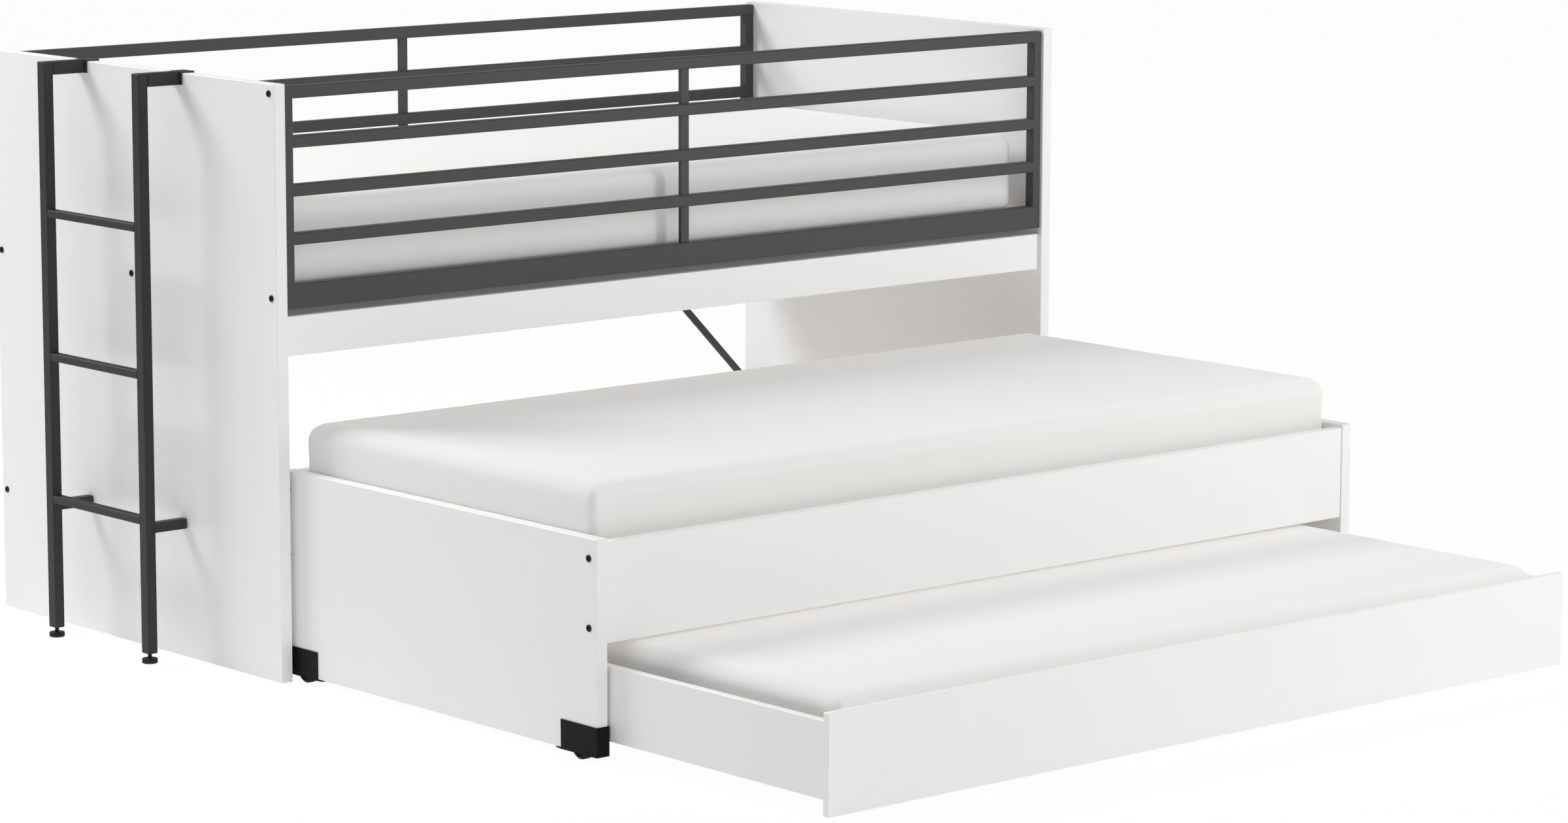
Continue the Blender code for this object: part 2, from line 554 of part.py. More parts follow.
def build_ladder(parent):
    """Coordinates here start at the left end panel's outer face."""
    upright_y = (LADDER_WIDTH - UPRIGHT_WIDTH) / 2
    upright_x = (-LADDER_STANDOFF - SEAT_GAP - UPRIGHT_DEPTH, -LADDER_STANDOFF - SEAT_GAP)
    upright_mid_x = sum(upright_x) / 2
    top = BUNK_HEIGHT + SEAT_GAP + HOOK_PLATE
    bore_depth = STEM_REACH + FOOT_TRAVEL + STEM_CLEARANCE
    for place, side in (("front", -1), ("back", 1)):
        middle_y = side * upright_y
        upright = block("ladder_upright_" + place, upright_x, about(middle_y, UPRIGHT_WIDTH),
                        (UPRIGHT_CLEARANCE, top), BLACK_STEEL, parent, TUBE_ROUND)
        bore_z = UPRIGHT_CLEARANCE + (bore_depth - CUT_OVERRUN) / 2
        bore = rod("bore", STEM_RADIUS + STEM_CLEARANCE, bore_depth + CUT_OVERRUN, STEM_FACES, Matrix.Identity(4),
                   (upright_mid_x, middle_y, bore_z), parent)
        combine(upright, [bore], "DIFFERENCE")
        build_hook_arm("hook_arm_" + place, middle_y, BLACK_STEEL, parent)
        block("lower_arm_" + place, (-LADDER_STANDOFF, -SEAT_GAP), about(middle_y, LOWER_ARM),
              (LOWER_ARM_TOP - LOWER_ARM, LOWER_ARM_TOP), BLACK_STEEL, parent, TUBE_ROUND)
        build_foot("levelling_foot_" + place, BLACK_PLASTIC, parent, (upright_mid_x, middle_y, 0))
    rung_end = upright_y - UPRIGHT_WIDTH / 2 - SEAT_GAP
    rung_x = (upright_x[0], upright_x[0] + RUNG_DEPTH)
    for index in range(RUNG_COUNT):
        rung_top = RUNG_FIRST_TOP + index * RUNG_PITCH
        rung = block(f"rung_{index + 1}", rung_x, about(0, 2 * rung_end), (rung_top - RUNG_HEIGHT, rung_top),
                     BLACK_STEEL, parent, TUBE_ROUND)
        cutters = []
        for groove in range(RUNG_GROOVES):
            groove_x = sum(rung_x) / 2 + (groove - (RUNG_GROOVES - 1) / 2) * RUNG_GROOVE_PITCH
            cutters.append(block("groove", about(groove_x, RUNG_GROOVE_WIDTH), about(0, 2 * (rung_end + CUT_OVERRUN)),
                                 (rung_top - RUNG_GROOVE_DEPTH, rung_top + CUT_OVERRUN), parent=parent))
        combine(rung, cutters, "DIFFERENCE")


def build_wheel(name, radius, width, look, parent, place):
    """A moulded wheel: rounded tread, dished sides and a bored hub."""
    half = width / 2
    web = half - WHEEL_DISH_DEPTH
    inner_rim = radius - WHEEL_RIM
    bore = AXLE_RADIUS + AXLE_CLEARANCE
    profile = [(half, bore), (half, HUB_RADIUS), (web, HUB_RADIUS), (web, inner_rim), (half, inner_rim),
               (half, radius - WHEEL_ROUND), (half - WHEEL_ROUND, radius)]
    profile += [(-x, r) for x, r in reversed(profile)]
    return shade(make_piece(name, turned_mesh(profile, WHEEL_FACES), look, parent, place))


def build_corner_bracket(name, side_x, side_y, look, parent, place):
    """A folded steel shoe round the panel's lower corner, with a riveted axle through it.

    Its own origin is on the axle. The shoe wraps the panel's faces and its
    end, and its floor plate runs on as a lip under the panel.
    """
    half_x = BOARD_THICKNESS / 2 + BRACKET_PANEL_GAP
    end_y = WHEEL_INSET + BRACKET_PANEL_GAP
    inner_y = end_y - (BRACKET_LENGTH - BRACKET_SHEET)
    floor_z = BRACKET_BOTTOM + BRACKET_SHEET - WHEEL_RADIUS
    top_z = BRACKET_TOP - WHEEL_RADIUS
    bm = bmesh.new()
    bmesh.ops.create_cube(bm, size=1)
    bmesh.ops.scale(bm, vec=(2 * half_x, end_y - inner_y, top_z - floor_z), verts=bm.verts)
    bmesh.ops.translate(bm, vec=(0, (end_y + inner_y) / 2, (top_z + floor_z) / 2), verts=bm.verts)
    bm.normal_update()
    opened = [f for f in bm.faces if f.normal.z > 0.5 or f.normal.y < -0.5]
    bmesh.ops.delete(bm, geom=opened, context="FACES_ONLY")
    lip_edge = [e for e in bm.edges if all(v.co.y < inner_y + BRACKET_PANEL_GAP and v.co.z < 0 for v in e.verts)
                and abs(e.verts[0].co.x - e.verts[1].co.x) > half_x]
    pulled = bmesh.ops.extrude_edge_only(bm, edges=lip_edge)["geom"]
    bmesh.ops.translate(bm, vec=(0, -BRACKET_LIP, 0), verts=[g for g in pulled if isinstance(g, bmesh.types.BMVert)])
    bmesh.ops.scale(bm, vec=(side_x, side_y, 1), verts=bm.verts)
    bmesh.ops.recalc_face_normals(bm, faces=bm.faces)
    floor = next(f for f in bm.faces if abs(f.normal.z) > 0.5)
    if floor.normal.z > 0:
        bmesh.ops.reverse_faces(bm, faces=bm.faces)
    mesh = bpy.data.meshes.new(name)
    bm.to_mesh(mesh)
    bm.free()
    bracket = make_piece(name, mesh, None)
    fold = bracket.modifiers.new("Sheet", "SOLIDIFY")
    fold.thickness = BRACKET_SHEET
    fold.offset = 1
    fold.use_even_offset = True
    slot = block("slot", about(0, WHEEL_WIDTH + 2 * WHEEL_SLOT_SIDE_GAP), about(0, 2 * WHEEL_RADIUS),
                 (floor_z - BRACKET_SHEET - CUT_OVERRUN, floor_z + CUT_OVERRUN / 2))
    combine(bracket, [slot], "DIFFERENCE")
    axle = rod("axle", AXLE_RADIUS, BOARD_THICKNESS + 2 * BRACKET_SHEET, AXLE_FACES)
    combine(bracket, [axle], "UNION")
    return settle(bracket, look, parent, place)


def build_pullout_bed(parent):
    half_depth = PULLOUT_DEPTH / 2
    rail_outer = half_depth - PULLOUT_RAIL_SETBACK
    wheel_y = half_depth - WHEEL_INSET
    notch_half = WHEEL_RADIUS + WHEEL_SLOT_END_GAP
    for end, side in (("left", -1), ("right", 1)):
        panel_x = mirrored((PULLOUT_CLEAR_X, PULLOUT_CLEAR_X + BOARD_THICKNESS), side)
        panel = block("pullout_panel_" + end, panel_x, about(0, PULLOUT_DEPTH),
                      (PULLOUT_PANEL_BOTTOM, PULLOUT_PANEL_TOP), WHITE_BOARD, parent, EDGE_ROUND)
        notches = []
        for side_y in (-1, 1):
            notches.append(block("notch", about(sum(panel_x) / 2, BOARD_THICKNESS + 2 * CUT_OVERRUN),
                                 about(side_y * wheel_y, 2 * notch_half),
                                 (PULLOUT_PANEL_BOTTOM - CUT_OVERRUN, WHEEL_RADIUS + notch_half), parent=parent))
        combine(panel, notches, "DIFFERENCE")
        for place, side_y in (("front", -1), ("back", 1)):
            axle = (sum(panel_x) / 2, side_y * wheel_y, WHEEL_RADIUS)
            build_corner_bracket(f"corner_bracket_{place}_{end}", side, side_y, BLACK_STEEL, parent, axle)
            build_wheel(f"wheel_{place}_{end}", WHEEL_RADIUS, WHEEL_WIDTH, BLACK_PLASTIC, parent, axle)
    for place, side_y, top in (("front", -1, PULLOUT_RAIL_TOP), ("back", 1, PULLOUT_PANEL_TOP - EDGE_ROUND)):
        inner = rail_outer - RAIL_THICKNESS
        block("pullout_rail_" + place, about(0, 2 * (PULLOUT_CLEAR_X - SEAT_GAP)),
              mirrored((inner, rail_outer), side_y), (PULLOUT_RAIL_BOTTOM, top), WHITE_BOARD, parent, EDGE_ROUND)
        block("pullout_ledger_" + place, about(0, 2 * (PULLOUT_CLEAR_X - SEAT_GAP)),
              mirrored((inner - SEAT_GAP - LEDGER_WIDTH, inner - SEAT_GAP), side_y),
              (PULLOUT_SLAT_BASE - SEAT_GAP - LEDGER_HEIGHT, PULLOUT_SLAT_BASE - SEAT_GAP), PINE, parent)
    slat_length = 2 * (rail_outer - RAIL_THICKNESS - SLAT_END_GAP)
    build_slat_roll("pullout_slats", MATTRESS_LENGTH, slat_length, SLAT_THICKNESS, PINE, parent,
                    (0, 0, PULLOUT_SLAT_BASE))
    mattress_y = RAIL_THICKNESS - rail_outer + PULLOUT_FRONT_GAP + MATTRESS_WIDTH / 2
    build_mattress("pullout_mattress", MATTRESS_LENGTH, MATTRESS_WIDTH, MATTRESS_THICKNESS, MATTRESS_CROWN, FOAM,
                   parent, (0, mattress_y, PULLOUT_MATTRESS_BASE))


def build_castor_fork(name, top, look, parent, place):
    """A pressed fork: a plate screwed up into the ledger, and two cheeks that hold the axle."""
    cheek_x = CASTOR_WIDTH / 2 + FORK_GAP
    half = cheek_x + FORK_SHEET
    fork = block(name, about(0, 2 * (half + FORK_FLANGE)), about(0, 2 * FORK_REACH), (top - FORK_SHEET, top))
    cheeks = []
    for side in (-1, 1):
        cheeks.append(block("cheek", mirrored((cheek_x, half), side), about(0, 2 * CHEEK_REACH),
                            (-FORK_DROP, top - FORK_SHEET / 2)))
    cheeks.append(rod("axle", AXLE_RADIUS, 2 * half - FORK_SHEET, AXLE_FACES))
    combine(fork, cheeks, "UNION")
    return settle(fork, look, parent, place)


def build_trundle(parent):
    half_depth = TRUNDLE_DEPTH / 2
    half_length = TRUNDLE_LENGTH / 2
    front_inner = half_depth - TRUNDLE_FRONT_THICKNESS
    back_inner = half_depth - TRUNDLE_BOARD
    block("trundle_front", about(0, TRUNDLE_LENGTH), (-half_depth, -front_inner),
          (TRUNDLE_FRONT_BOTTOM, TRUNDLE_FRONT_TOP), WHITE_BOARD, parent, EDGE_ROUND)
    block("trundle_back", about(0, 2 * (TRUNDLE_CLEAR_X - SEAT_GAP)), (back_inner, half_depth),
          (TRUNDLE_SIDE_BOTTOM, TRUNDLE_SIDE_TOP), WHITE_BOARD, parent, EDGE_ROUND)
    for end, side in (("left", -1), ("right", 1)):
        side_x = mirrored((TRUNDLE_CLEAR_X, half_length - TRUNDLE_SIDE_INSET), side)
        block("trundle_side_" + end, side_x, (-front_inner + SEAT_GAP, half_depth),
              (TRUNDLE_SIDE_BOTTOM, TRUNDLE_SIDE_TOP), WHITE_BOARD, parent, EDGE_ROUND)
    for place, side_y, inner in (("front", -1, front_inner), ("back", 1, back_inner)):
        face = inner - SEAT_GAP
        block("trundle_ledger_" + place, about(0, 2 * (TRUNDLE_CLEAR_X - SEAT_GAP)),
              mirrored((face - TRUNDLE_LEDGER_WIDTH, face), side_y),
              (TRUNDLE_LEDGER_BASE, TRUNDLE_LEDGER_BASE + TRUNDLE_LEDGER_HEIGHT), PINE, parent)
        for end, side in (("left", -1), ("right", 1)):
            axle = (side * (half_length - CASTOR_INSET), side_y * (inner - CASTOR_BOARD_GAP - CASTOR_RADIUS), CASTOR_RADIUS)
            fork_top = TRUNDLE_LEDGER_BASE - SEAT_GAP - CASTOR_RADIUS
            build_castor_fork(f"castor_fork_{place}_{end}", fork_top, BLACK_STEEL, parent, axle)
            build_wheel(f"castor_{place}_{end}", CASTOR_RADIUS, CASTOR_WIDTH, BLACK_PLASTIC, parent, axle)
    slat_span = (-front_inner + SLAT_END_GAP, back_inner - SLAT_END_GAP)
    build_slat_roll("trundle_slats", TRUNDLE_MATTRESS_LENGTH, slat_span[1] - slat_span[0], TRUNDLE_SLAT_THICKNESS,
                    PINE, parent, (0, sum(slat_span) / 2, TRUNDLE_SLAT_BASE))
    mattress_y = -front_inner + TRUNDLE_MATTRESS_FRONT_GAP + TRUNDLE_MATTRESS_WIDTH / 2
    build_mattress("trundle_mattress", TRUNDLE_MATTRESS_LENGTH, TRUNDLE_MATTRESS_WIDTH, TRUNDLE_MATTRESS_THICKNESS,
                   TRUNDLE_MATTRESS_CROWN, FOAM, parent, (0, mattress_y, TRUNDLE_MATTRESS_BASE))


# Looks: colour, roughness and metallic value
WHITE_BOARD = ((0.80, 0.80, 0.80), 0.45)
BLACK_STEEL = ((0.035, 0.036, 0.036), 0.42, 0.0)
BLACK_PLASTIC = ((0.02, 0.02, 0.02), 0.55)
PINE = ((0.62, 0.46, 0.28), 0.65)
FOAM = ((0.78, 0.76, 0.71), 0.95)

for old in list(bpy.data.objects):
    bpy.data.objects.remove(old)

bunk = make_assembly("bunk_assembly", (BED_MID_X, 0, 0))
ladder = make_assembly("ladder_assembly", (-BOARD_THICKNESS / 2, LADDER_PLACE_Y, 0))
pullout = make_assembly("pullout_assembly", (BED_MID_X, PULLOUT_MID_Y, 0))
trundle = make_assembly("trundle_assembly", (BED_MID_X, TRUNDLE_MID_Y, 0))

build_upper_bunk(bunk)
build_ladder(ladder)
build_pullout_bed(pullout)
build_trundle(trundle)
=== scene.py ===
# %% [markdown]
# # A three-place bunk bed
# A low bunk with white end panels and black steel guards. A bed on wheels
# rolls out from under it, and a trundle rolls out from under that bed. The
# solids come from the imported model, which is loaded first. This lesson lights
# them, gives each one its finish, and makes what the solids leave out: the
# soft mattresses, the folded slat rails and the bolts.

import json
import math

import bmesh
import bpy
from mathutils import Matrix, Vector


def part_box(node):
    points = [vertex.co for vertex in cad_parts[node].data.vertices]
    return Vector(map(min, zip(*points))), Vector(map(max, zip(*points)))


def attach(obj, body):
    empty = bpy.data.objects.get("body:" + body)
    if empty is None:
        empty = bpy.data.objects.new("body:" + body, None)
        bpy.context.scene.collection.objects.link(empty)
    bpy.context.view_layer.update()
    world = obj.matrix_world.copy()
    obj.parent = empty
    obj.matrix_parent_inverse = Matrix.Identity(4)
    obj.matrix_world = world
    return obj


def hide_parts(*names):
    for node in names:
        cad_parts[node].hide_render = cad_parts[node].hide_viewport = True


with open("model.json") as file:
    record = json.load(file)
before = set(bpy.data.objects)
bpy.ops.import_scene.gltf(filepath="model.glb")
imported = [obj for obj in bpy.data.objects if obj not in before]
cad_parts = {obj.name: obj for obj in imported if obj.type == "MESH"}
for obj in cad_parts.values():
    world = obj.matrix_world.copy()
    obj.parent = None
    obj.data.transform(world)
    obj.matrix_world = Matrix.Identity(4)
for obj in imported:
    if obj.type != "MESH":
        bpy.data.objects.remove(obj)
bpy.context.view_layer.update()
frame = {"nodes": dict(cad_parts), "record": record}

# %% [markdown]
# ## The camera
# The picture was taken with a long lens from well in front of the ladder end,
# a little above the bed. A turn about Z, a tilt about X and a very small roll
# are put together as matrices, because that keeps each number readable.

# %% Camera
PICTURE_WIDTH, FOCAL_LENGTH = 2400, 7463.9  # both in pixels
eye = bpy.data.cameras.new("camera")
eye.sensor_width = 36
eye.lens = FOCAL_LENGTH / PICTURE_WIDTH * eye.sensor_width
camera = bpy.data.objects.new("camera", eye)
bpy.context.collection.objects.link(camera)
stand = Matrix.Translation((-5.3026, -8.0039, 2.0120))
heading = Matrix.Rotation(math.radians(-41.1468), 4, "Z")
tilt = Matrix.Rotation(math.radians(90 - 9.2063), 4, "X")
roll = Matrix.Rotation(math.radians(0.1624), 4, "Z")
camera.matrix_world = stand @ heading @ tilt @ roll
bpy.context.scene.camera = camera
print("lens", round(eye.lens, 1), "mm")

# %% [markdown]
# ## Shader arithmetic
# A finish is easier to read as a sum than as a web of nodes. `Tone` wraps one
# socket, and adding, subtracting, multiplying or comparing tones adds the
# Math nodes. The reflected forms are there so that a number may come first.

# %% Tone
class Tone:
    """A value that changes over a surface: one output of a web of nodes."""

    def __init__(self, web, socket):
        self.web, self.socket = web, socket

    def math(self, operation, *values):
        return self.web.node("ShaderNodeMath", values, operation=operation)

    def __add__(self, other):
        return self.math("ADD", self, other)

    def __radd__(self, other):
        return self.math("ADD", other, self)

    def __sub__(self, other):
        return self.math("SUBTRACT", self, other)

    def __rsub__(self, other):
        return self.math("SUBTRACT", other, self)

    def __mul__(self, other):
        return self.math("MULTIPLY", self, other)

    def __rmul__(self, other):
        return self.math("MULTIPLY", other, self)

    def __lt__(self, other):
        return self.math("LESS_THAN", self, other)


print("tones can be added, subtracted, multiplied and compared")

# %% [markdown]
# ## Webs and finishes
# `Web` holds one tree of nodes. A single method makes every kind of node, from
# its settings and the values or links of its sockets. `Finish` is the web of
# one material, with a short name for each node that the finishes below share.

# %% Web and Finish
class Web:
    """One tree of shader nodes."""

    def __init__(self, tree):
        self.tree = tree

    def plug(self, tone, socket):
        self.tree.links.new(tone.socket, socket)

    def node(self, kind, values=(), output=0, stops=None, **settings):
        """Make a node: its settings first, then the values or links of its sockets."""
        made = self.tree.nodes.new(kind)
        for name, value in settings.items():
            setattr(made, name, value)
        if stops:
            ramp = made.color_ramp.elements
            while len(ramp) < len(stops):
                ramp.new(0.5)
            for element, (place, colour) in zip(ramp, stops):
                element.position, element.color = place, (*colour, 1)
        named = values.items() if isinstance(values, dict) else enumerate(values)
        for key, value in named:
            if isinstance(value, Tone):
                self.plug(value, made.inputs[key])
            else:
                made.inputs[key].default_value = value
        return Tone(self, made.outputs[output])


class Finish(Web):
    """One material, built on a Principled shader."""

    def __init__(self, name, **fixed):
        self.material = bpy.data.materials.new(name)
        self.material.use_nodes = True
        super().__init__(self.material.node_tree)
        self.shader = self.tree.nodes["Principled BSDF"]
        for socket, value in fixed.items():
            self.socket(socket).default_value = value

    def socket(self, name):
        return self.shader.inputs[name.replace("_", " ")]

    def drive(self, **tones):
        for name, tone in tones.items():
            self.plug(tone, self.socket(name))

    def coordinates(self, scale=(1, 1, 1)):
        place = self.node("ShaderNodeTexCoord", output="Object")
        return self.node("ShaderNodeMapping", {"Vector": place, "Scale": scale})

    def height(self, place):
        return self.node("ShaderNodeSeparateXYZ", [place], output="Z")

    def noise(self, place, scale, detail, roughness=0.5, distortion=0.0):
        return self.node("ShaderNodeTexNoise", {
            "Vector": place, "Scale": scale, "Detail": detail,
            "Roughness": roughness, "Distortion": distortion})

    def blend(self, factor, first, second):
        first, second = [c if isinstance(c, Tone) else (*c, 1) for c in (first, second)]
        return self.node("ShaderNodeMix", {0: factor, 6: first, 7: second}, output=2,
                         data_type="RGBA")

    def ramp(self, tone, *stops):
        return self.node("ShaderNodeValToRGB", [tone], stops=stops)

    def bump(self, height, distance, strength, under=None):
        values = {"Height": height, "Distance": distance, "Strength": strength}
        if under is not None:
            values["Normal"] = under
        return self.node("ShaderNodeBump", values)


print("Web and Finish are ready")

# %% [markdown]
# ## Lights
# The picture is lit by two soft boxes. One stands high behind the ladder end,
# and throws the ladder's soft shadows across the end panel. The other is tall
# and narrow. It stands in front and to the right, so that a mullion draws its
# shadow on the mattress and the level rails draw none.
# The rest is the studio's own light, which comes back from white walls and a
# white ceiling on all sides. Three fills without shadows stand in for the
# nearest of them, so that the bays behind the guards and under the bunk stay
# as light as in the picture. They leave no highlights in a gloss.

# %% Soft boxes and fills
BED_MIDDLE = Vector((1.0, -0.7, 0.5))
BOX_DISTANCE = 6


def hang(name, lamp, towards):
    """Hang a lamp so that its light comes from the given direction."""
    hung = bpy.data.objects.new(name, lamp)
    bpy.context.collection.objects.link(hung)
    hung.rotation_mode = "QUATERNION"
    hung.rotation_quaternion = towards.to_track_quat("Z", "Y")
    return hung


def soft_box(name, towards, width, height, power):
    """A light with soft shadows, which looks at the middle of the bed from far off."""
    lamp = bpy.data.lights.new(name, "AREA")
    lamp.shape, lamp.size, lamp.size_y, lamp.energy = "ELLIPSE", width, height, power
    direction = Vector(towards).normalized()
    hang(name, lamp, direction).location = BED_MIDDLE + direction * BOX_DISTANCE


def studio_fill(name, towards, strength):
    """The even light of one white wall or of the ceiling, which casts no shadow."""
    lamp = bpy.data.lights.new(name, "SUN")
    lamp.energy, lamp.angle, lamp.use_shadow = strength, 0.5, False
    hang(name, lamp, Vector(towards)).visible_glossy = False


soft_box("box_behind_ladder", (-1.0, 1.28, 1.5), width=2.2, height=2.2, power=176)
soft_box("box_in_front", (1.0, -1.15, 0.55), width=1.3, height=5.0, power=98)
studio_fill("wall_left", (-1, 0, 0), strength=0.14)
studio_fill("wall_front", (0, -1, 0), strength=0.56)
studio_fill("ceiling", (0, 0, 1), strength=1.12)
print("two soft boxes and three fills")

# %% [markdown]
# ## Room
# The room has to be plain white to the camera, and yet it must not wash out
# the soft boxes' shadows. So its strength depends on the ray: full to the
# camera, a quarter of that as light, and a good third of it in a gloss.

# %% Room
ROOM_AS_LIGHT, GLOSS_SHARE = 0.25, 0.15
room = bpy.data.worlds.new("room")
room.use_nodes = True
bpy.context.scene.world = room
background = room.node_tree.nodes["Background"].inputs
background["Color"].default_value = (1, 1, 1, 1)
walls = Web(room.node_tree)
to_camera = walls.node("ShaderNodeLightPath", output="Is Camera Ray")
in_gloss = walls.node("ShaderNodeLightPath", output="Is Glossy Ray")
bright = in_gloss * GLOSS_SHARE + to_camera
walls.plug(bright * (1 - ROOM_AS_LIGHT) + ROOM_AS_LIGHT, background["Strength"])
print("the room gives", ROOM_AS_LIGHT, "of its white as light")

# %% [markdown]
# ## Floor
# The picture has no horizon and next to no shadow on the ground. The floor is
# one great square that glows to the camera, mixed with a pale matt shader that
# keeps a trace of the shadows. It lies a hair under the feet and the wheels,
# so that no face of theirs shares its plane.

# %% Floor
FLOOR_HALF, FLOOR_DROP = 60, 0.0004
GLOW_TO_CAMERA, GLOW_AS_LIGHT = 0.94, 0.08
ground = bmesh.new()
bmesh.ops.create_grid(ground, x_segments=1, y_segments=1, size=FLOOR_HALF)
floor_mesh = bpy.data.meshes.new("floor")
ground.to_mesh(floor_mesh)
ground.free()
floor = bpy.data.objects.new("floor", floor_mesh)
floor.location = (0, 0, -FLOOR_DROP)
bpy.context.collection.objects.link(floor)
pale = Finish("pale_floor", Roughness=0.9, Base_Color=(0.95, 0.95, 0.95, 1))
glow = pale.node("ShaderNodeEmission", {"Color": (1, 1, 1, 1), "Strength": 1.0})
seen = pale.node("ShaderNodeLightPath", output="Is Camera Ray")
share = seen * (GLOW_TO_CAMERA - GLOW_AS_LIGHT) + GLOW_AS_LIGHT
lit = Tone(pale, pale.shader.outputs["BSDF"])
mixed = pale.node("ShaderNodeMixShader", {0: share, 1: lit, 2: glow})
pale.plug(mixed, pale.tree.nodes["Material Output"].inputs["Surface"])
floor_mesh.materials.append(pale.material)
bpy.context.scene.view_settings.view_transform = "Standard"
print("the floor is", FLOOR_HALF * 2, "m wide")

# %% [markdown]
# ## White board
# The boards are chipboard in a white foil. Up close such foil has a fine
# pearl grain, and its gloss wanders a little. The grain is a bump from a
# noise, too small to see from across a room. A broad noise drifts the white,
# and in the last few centimetres above the floor a noise makes it very
# faintly darker, in patches.

# %% White board finish
def white_board():
    foil = Finish("white_board")
    darkened_below, low_darkening = 0.03, 0.035
    place = foil.coordinates()
    cloud = foil.noise(place, 3.0, 3)
    pearl = foil.noise(place, 1400.0, 1)
    smear = foil.noise(foil.coordinates((9, 9, 2)), 1.6, 4)
    # Darker in patches towards the floor, over the lowest 3 cm.
    low_dark_patches = (foil.height(place) < darkened_below) * smear * low_darkening
    colour = foil.blend(cloud, (0.878, 0.880, 0.880), (0.902, 0.902, 0.900))
    colour = foil.blend(low_dark_patches, colour, (0.42, 0.41, 0.39))
    foil.drive(Base_Color=colour, Roughness=0.36 + smear * 0.12,
               Normal=foil.bump(pearl, 0.00002, 0.5))
    return foil.material


WHITE_BOARD = white_board()
print("made", WHITE_BOARD.name)

# %% [markdown]
# ## Black powder coat
# Steel tube is sprayed with powder and baked, which leaves an orange-peel
# skin. Two noises make it: a broad one for the peel, a fine one for the
# texture of the powder. Where the skin is high, it is rubbed a little
# glossier. One function makes four coats, each with its own shade and gloss.
# The ladder's coat is darker than the guards' as painted shade, because the end
# panel keeps the box in front off the ladder. The slat rails' coat is a mid
# grey as painted light, for the light that comes into the slot over the front
# board. The wheels' brackets and forks get a darker, duller coat.

# %% Powder coat finish
def powder_coat(name, shade, gloss):
    coat = Finish(name, Specular_IOR_Level=gloss)
    place = coat.coordinates()
    peel = coat.noise(place, 420.0, 2)
    powder = coat.noise(place, 1900.0, 2, 0.7)
    wander = coat.noise(place, 6.0, 3)
    dark, light = (shade, shade, shade), (shade * 1.25, shade * 1.27, shade * 1.28)
    skin = coat.bump(peel, 0.00006, 0.7, under=coat.bump(powder, 0.00003, 0.7))
    coat.drive(Base_Color=coat.blend(wander, dark, light),
               Roughness=0.52 - peel * 0.12 + wander * 0.06, Normal=skin)
    return coat.material


POWDER_COAT = powder_coat("black_powder_coat", shade=0.042, gloss=0.42)
# The ladder's coat is darker than the guards' as painted shade: the end panel shades the ladder.
LADDER_COAT_PAINTED_SHADE = powder_coat("ladder_powder_coat_painted_shade", shade=0.024, gloss=0.30)
SHOE_COAT = powder_coat("dark_powder_coat", shade=0.004, gloss=0.12)
# The rails' coat is a mid grey as painted light in the slot over the front board.
RAIL_COAT_PAINTED_LIGHT = powder_coat("rail_powder_coat_painted_light", shade=0.22, gloss=0.60)
print("made", *(coat.name for coat in (POWDER_COAT, LADDER_COAT_PAINTED_SHADE, SHOE_COAT, RAIL_COAT_PAINTED_LIGHT)))

# %% [markdown]
# ## Black plastic
# Wheels and feet are moulded nylon. It is duller than the powder coat, with a
# spark-eroded grain from the mould. A height below which dust counts for more
# is all it takes for the tread to pick some up where it meets the floor.

# %% Plastic finish
def black_plastic():
    nylon = Finish("black_plastic", Specular_IOR_Level=0.3)
    dusty_below = 0.004
    place = nylon.coordinates()
    grain = nylon.noise(place, 1100.0, 3, 0.65)
    dust = nylon.noise(place, 90.0, 4, 0.7)
    dusty = (nylon.height(place) < dusty_below) * dust * 0.25 + dust * 0.02
    colour = nylon.blend(dusty, (0.008, 0.008, 0.008), (0.17, 0.165, 0.155))
    nylon.drive(Base_Color=colour, Roughness=0.55 + grain * 0.2,
                Normal=nylon.bump(grain, 0.00004, 0.6))
    return nylon.material


BLACK_PLASTIC = black_plastic()
print("made", BLACK_PLASTIC.name)

# %% [markdown]
# ## Pine
# Slats and ledgers are planed pine. The growth rings of a sawn board are
# long, nearly parallel bands, so two noises that are stretched along the
# grain are added and coloured by a ramp. A few knots come from a sparse cell
# pattern. The grain runs along X in the ledgers and along Y in the slats.

# %% Pine finish
def pine(name, along):
    wood = Finish(name)
    stretch = 0.06
    long_x, long_y = (stretch, 1.0) if along == "X" else (1.0, stretch)
    stretched = wood.coordinates((long_x, long_y, 1.0))
    bend = wood.noise(stretched, 11.0, 3)
    rings = wood.noise(stretched, 42.0, 4, 0.55, distortion=0.8)
    pores = wood.noise(wood.coordinates((long_x * 40, long_y * 40, 60)), 14.0, 3, 0.7)
    cells = wood.coordinates((2.2, 2.2, 2.2) if along == "Y" else (1.6, 3.4, 3.4))
    knot = wood.node("ShaderNodeTexVoronoi", {"Vector": cells, "Scale": 2.1}, output="Distance")
    eye_of_knot = wood.ramp(knot, (0.030, (1, 1, 1)), (0.060, (0, 0, 0)))
    bands = wood.ramp(rings * 0.8 + bend * 0.2, (0.34, (0.70, 0.53, 0.33)),
                      (0.50, (0.63, 0.45, 0.26)), (0.66, (0.50, 0.32, 0.16)))
    colour = wood.blend(eye_of_knot * 0.75, bands, (0.20, 0.095, 0.035))
    wood.drive(Base_Color=colour, Roughness=0.52 + pores * 0.2,
               Normal=wood.bump(pores * 0.6 + rings * 0.4, 0.00012, 0.6))
    return wood


PINE_ALONG_X = pine("pine_rails", "X").material
print("made", PINE_ALONG_X.name)

# %% [markdown]
# ## Slats on webbing
# Each set of slats is one piece with two woven tapes under it, so its finish
# has to tell wood from tape. The tapes are the only parts below the slats'
# undersides, and a comparison of the height picks them out. A fine twill
# crosses them.

# %% Slat finish
TAPE_DEPTH = 0.0009


